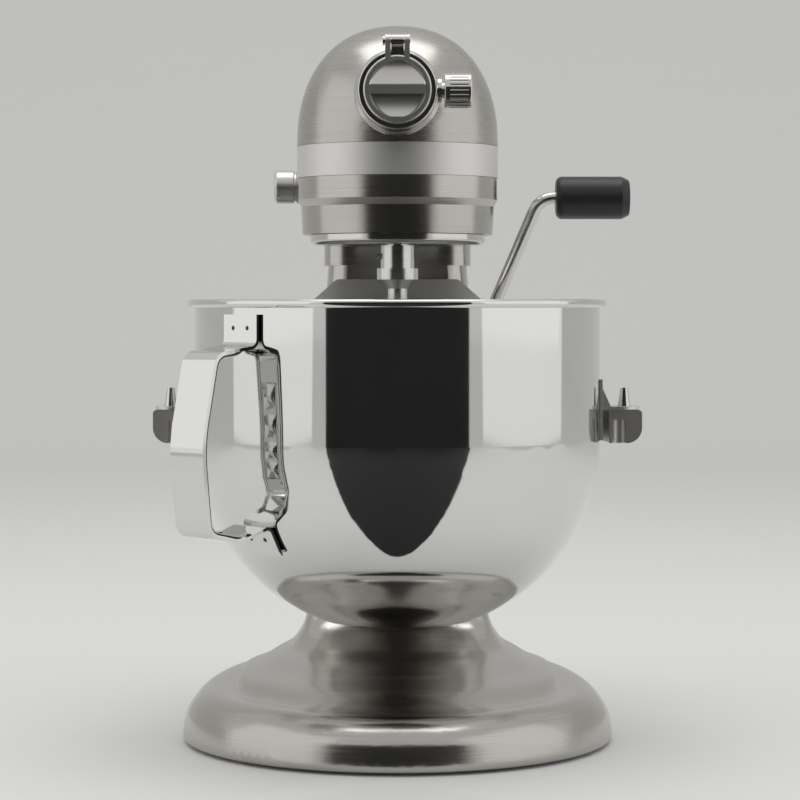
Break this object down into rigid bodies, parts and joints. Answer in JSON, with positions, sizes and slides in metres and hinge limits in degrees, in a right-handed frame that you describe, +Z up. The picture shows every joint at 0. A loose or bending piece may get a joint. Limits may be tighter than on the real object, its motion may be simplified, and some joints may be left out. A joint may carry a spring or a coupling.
{
  "type": "bowl-lift stand mixer",
  "caption": "Bowl-lift stand mixer with a geared planetary head, spiral dough hook, polished bowl with a strap handle, lift lever and front attachment hub.",
  "frame": {"origin": "on the counter under the middle of the whole machine's bounding box", "axes": "+Z up, -Y towards the front of the mixer, +X towards the lift lever's side"},
  "size_m": [0.2886, 0.373, 0.4189],
  "materials": {
    "nickel": "brushed nickel plate over a casting",
    "band": "satin",
    "stainless": "mirror polished",
    "bright": "polished",
    "grip": "satin black",
    "rubber": "matte",
    "gear_steel": "machined",
    "bronze": "machined",
    "motor_steel": "laminated and pressed steel",
    "magnet": "ferrite",
    "copper": "copper",
    "carbon": "graphite",
    "board": "circuit board",
    "fan": "moulded"
  },
  "bodies": {
    "stand": {"pedestal": "nickel", "rubber_feet": "rubber", "cord_grommet": "rubber", "lower_housing": "nickel", "upper_cover": "nickel", "trim_band": "band", "rear_cover": "nickel", "rear_cover_screw": "bright", "head_screws": "gear_steel", "ring_gear": "gear_steel", "attachment_hub": "bright", "gear_bracket": "gear_steel", "gear_bushes": "bronze", "motor_case": "motor_steel", "field_magnets": "magnet", "motor_end_bells": "motor_steel", "motor_bearings": "motor_steel", "brush_holders": "copper", "carbon_brushes": "carbon", "control_board": "board", "lever_bush": "bronze"},
    "lever": {"lift_lever": "bright", "lever_grip": "grip", "lift_crank": "gear_steel"},
    "support": {"bowl_support": "nickel", "slide_keeper": "gear_steel", "keeper_screws": "gear_steel", "locating_pins": "bright", "bowl_latch": "bright"},
    "bowl": {"mixing_bowl": "stainless", "bowl_handle": "stainless", "bowl_brackets": "stainless", "bowl_rear_pin": "stainless"},
    "rotor": {"motor_shaft": "gear_steel", "armature_core": "motor_steel", "commutator": "copper", "cooling_fan": "fan"},
    "wheel_set": {"worm_wheel": "bronze", "drive_pinion": "gear_steel"},
    "planetary": {"centre_shaft": "gear_steel", "centre_gear": "gear_steel", "planetary_hub": "bright", "drip_ring": "bright", "drive_bevel": "gear_steel", "beater_bush": "bronze"},
    "beater": {"beater_shaft": "bright", "planet_pinion": "gear_steel", "beater_pin": "bright", "dough_hook": "stainless"},
    "attachment_drive": {"attachment_bevel": "gear_steel", "attachment_shaft": "gear_steel"},
    "hub_door": {"hub_cover": "bright", "hub_hinge_pin": "bright"},
    "clamp_knob": {"attachment_knob": "bright", "knob_screw": "bright"},
    "speed_control": {"speed_knob": "bright", "speed_slider": "gear_steel"}
  },
  "joints": [
    {"name": "motor_spin", "type": "hinge", "parent": "stand", "child": "rotor", "pos_m": [0, 0.0715, 0.344], "axis": [0, 1, 0], "continuous": true},
    {"name": "wheel_spin", "type": "hinge", "parent": "stand", "child": "wheel_set", "pos_m": [-0.026, -0.03052, 0.344], "axis": [0, 0, 1], "continuous": true},
    {"name": "planetary_spin", "type": "hinge", "parent": "stand", "child": "planetary", "pos_m": [0, -0.0635, 0.3], "axis": [0, 0, 1], "continuous": true},
    {"name": "beater_spin", "type": "hinge", "parent": "planetary", "child": "beater", "pos_m": [0, -0.0905, 0.29], "axis": [0, 0, 1], "continuous": true},
    {"name": "attachment_spin", "type": "hinge", "parent": "stand", "child": "attachment_drive", "pos_m": [0, -0.1035, 0.3755], "axis": [0, 1, 0], "continuous": true},
    {"name": "hub_cover_hinge", "type": "hinge", "parent": "stand", "child": "hub_door", "pos_m": [0, -0.1435, 0.4025], "axis": [-1, 0, 0], "range_deg": [0, 100]},
    {"name": "clamp_knob_turn", "type": "hinge", "parent": "stand", "child": "clamp_knob", "pos_m": [0.03, -0.1355, 0.3755], "axis": [1, 0, 0], "range_deg": [0, 720]},
    {"name": "speed_slide", "type": "slide", "parent": "stand", "child": "speed_control", "axis": [0.0569, 0.9984, 0], "range_m": [0, 0.055]},
    {"name": "lever_swing", "type": "hinge", "parent": "stand", "child": "lever", "pos_m": [0.03, 0.0945, 0.236], "axis": [-1, 0, 0], "range_deg": [0, 90]},
    {"name": "bowl_lift", "type": "slide", "parent": "stand", "child": "support", "axis": [0, 0, -1], "range_m": [0, 0.03]},
    {"name": "bowl_liftoff", "type": "slide", "parent": "support", "child": "bowl", "axis": [0, 0, 1], "range_m": [0, 0.012]}
  ],
  "couplings": [
    {"joint": "wheel_spin", "follows": "motor_spin", "ratio": -0.041667},
    {"joint": "planetary_spin", "follows": "motor_spin", "ratio": 0.013889},
    {"joint": "beater_spin", "follows": "motor_spin", "ratio": -0.049603},
    {"joint": "attachment_spin", "follows": "motor_spin", "ratio": -0.013889},
    {"joint": "bowl_lift", "follows": "lever_swing", "m_per_rad": 0.019098}
  ]
}
